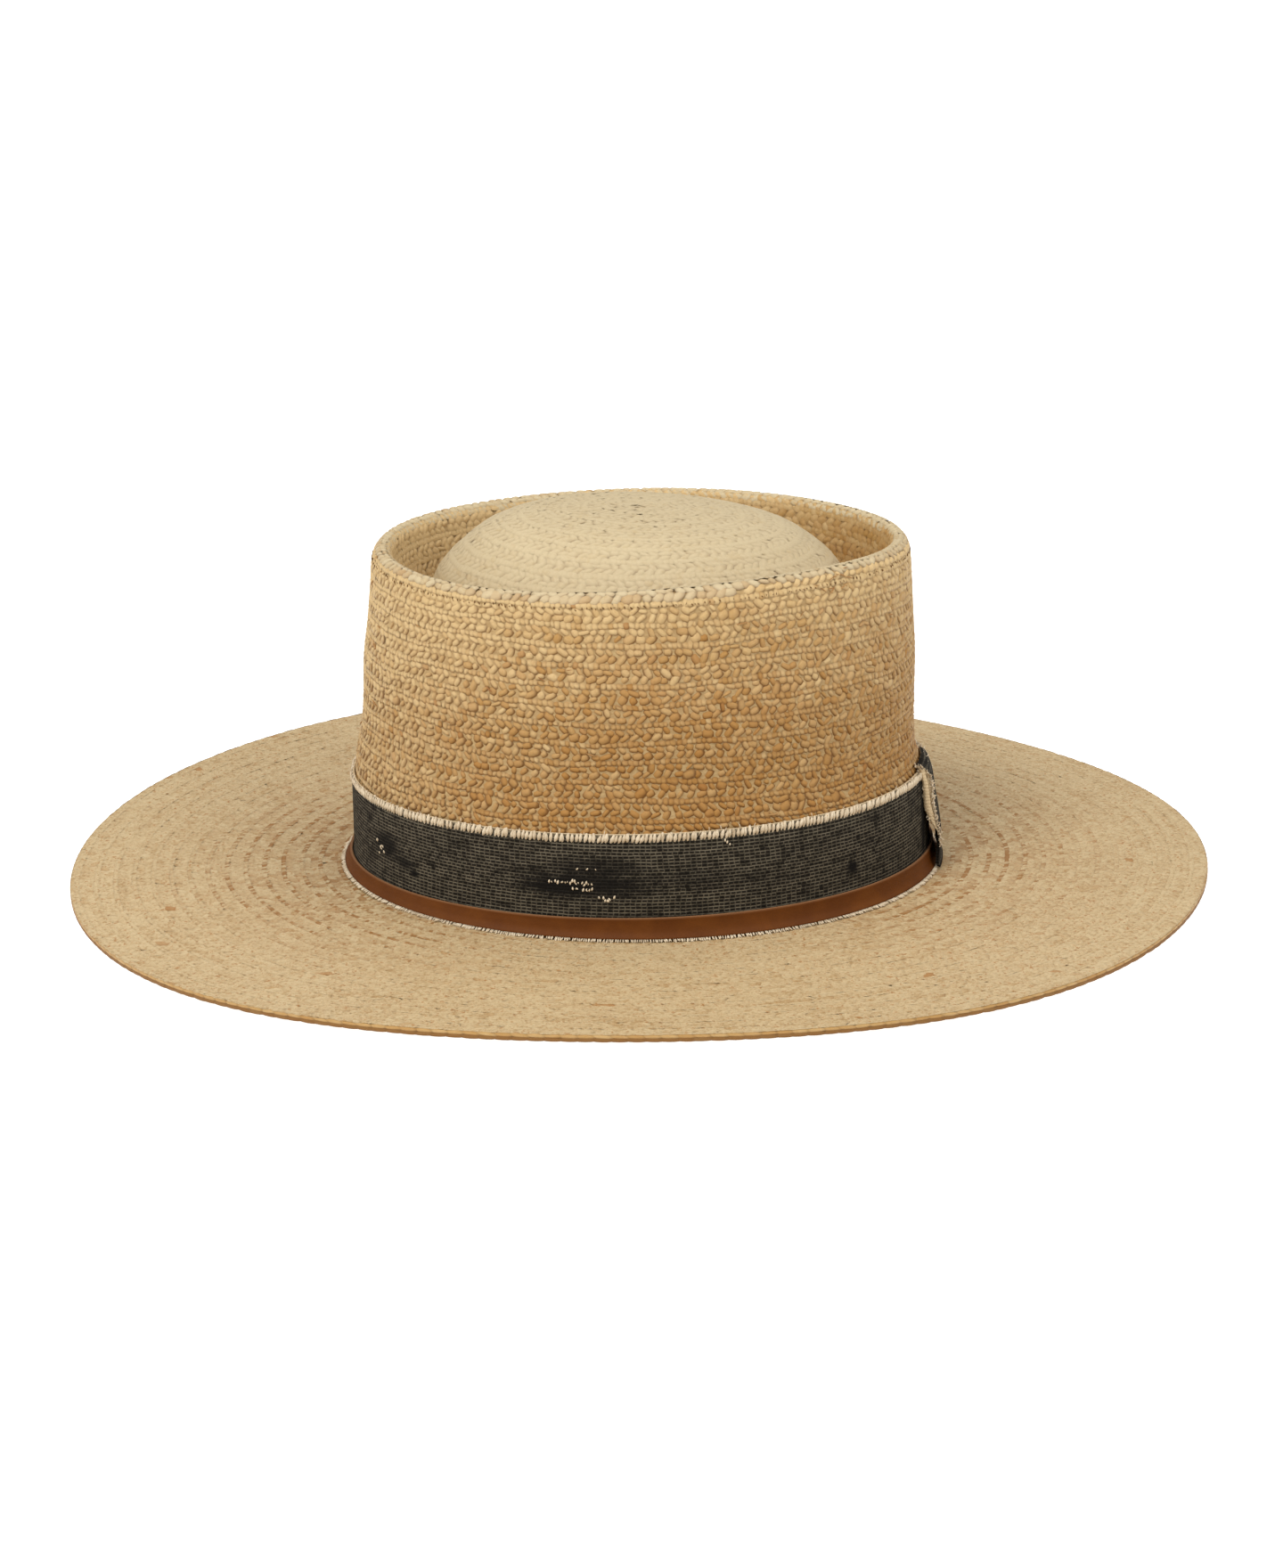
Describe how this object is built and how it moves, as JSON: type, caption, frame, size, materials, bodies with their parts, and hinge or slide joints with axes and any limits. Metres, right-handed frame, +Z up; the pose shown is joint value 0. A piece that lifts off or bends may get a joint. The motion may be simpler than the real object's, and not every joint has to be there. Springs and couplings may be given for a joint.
{
  "type": "porkpie hat",
  "caption": "Wide-brimmed porkpie hat of sewn straw plait with a raised tip in a grooved crown, a frayed dark ribbon, a leather strip and a ribbon keeper.",
  "frame": {"origin": "centre of the bounding box in plan, at the height of the surface the brim rests on", "axes": "+Z up; Y along the hat's length with its front at -Y and the keeper at +Y; +X to the wearer's left"},
  "size_m": [0.3652, 0.3878, 0.1281],
  "materials": {
    "straw": "dry plaited straw, faintly glossy",
    "ribbon": "matt plain weave, washed, with frayed cream edges",
    "leather": "smooth, low sheen, raw cut edges"
  },
  "bodies": {
    "root": {"straw_body": "straw", "hatband": "ribbon", "leather_trim": "leather", "band_keeper": "ribbon"}
  },
  "joints": []
}
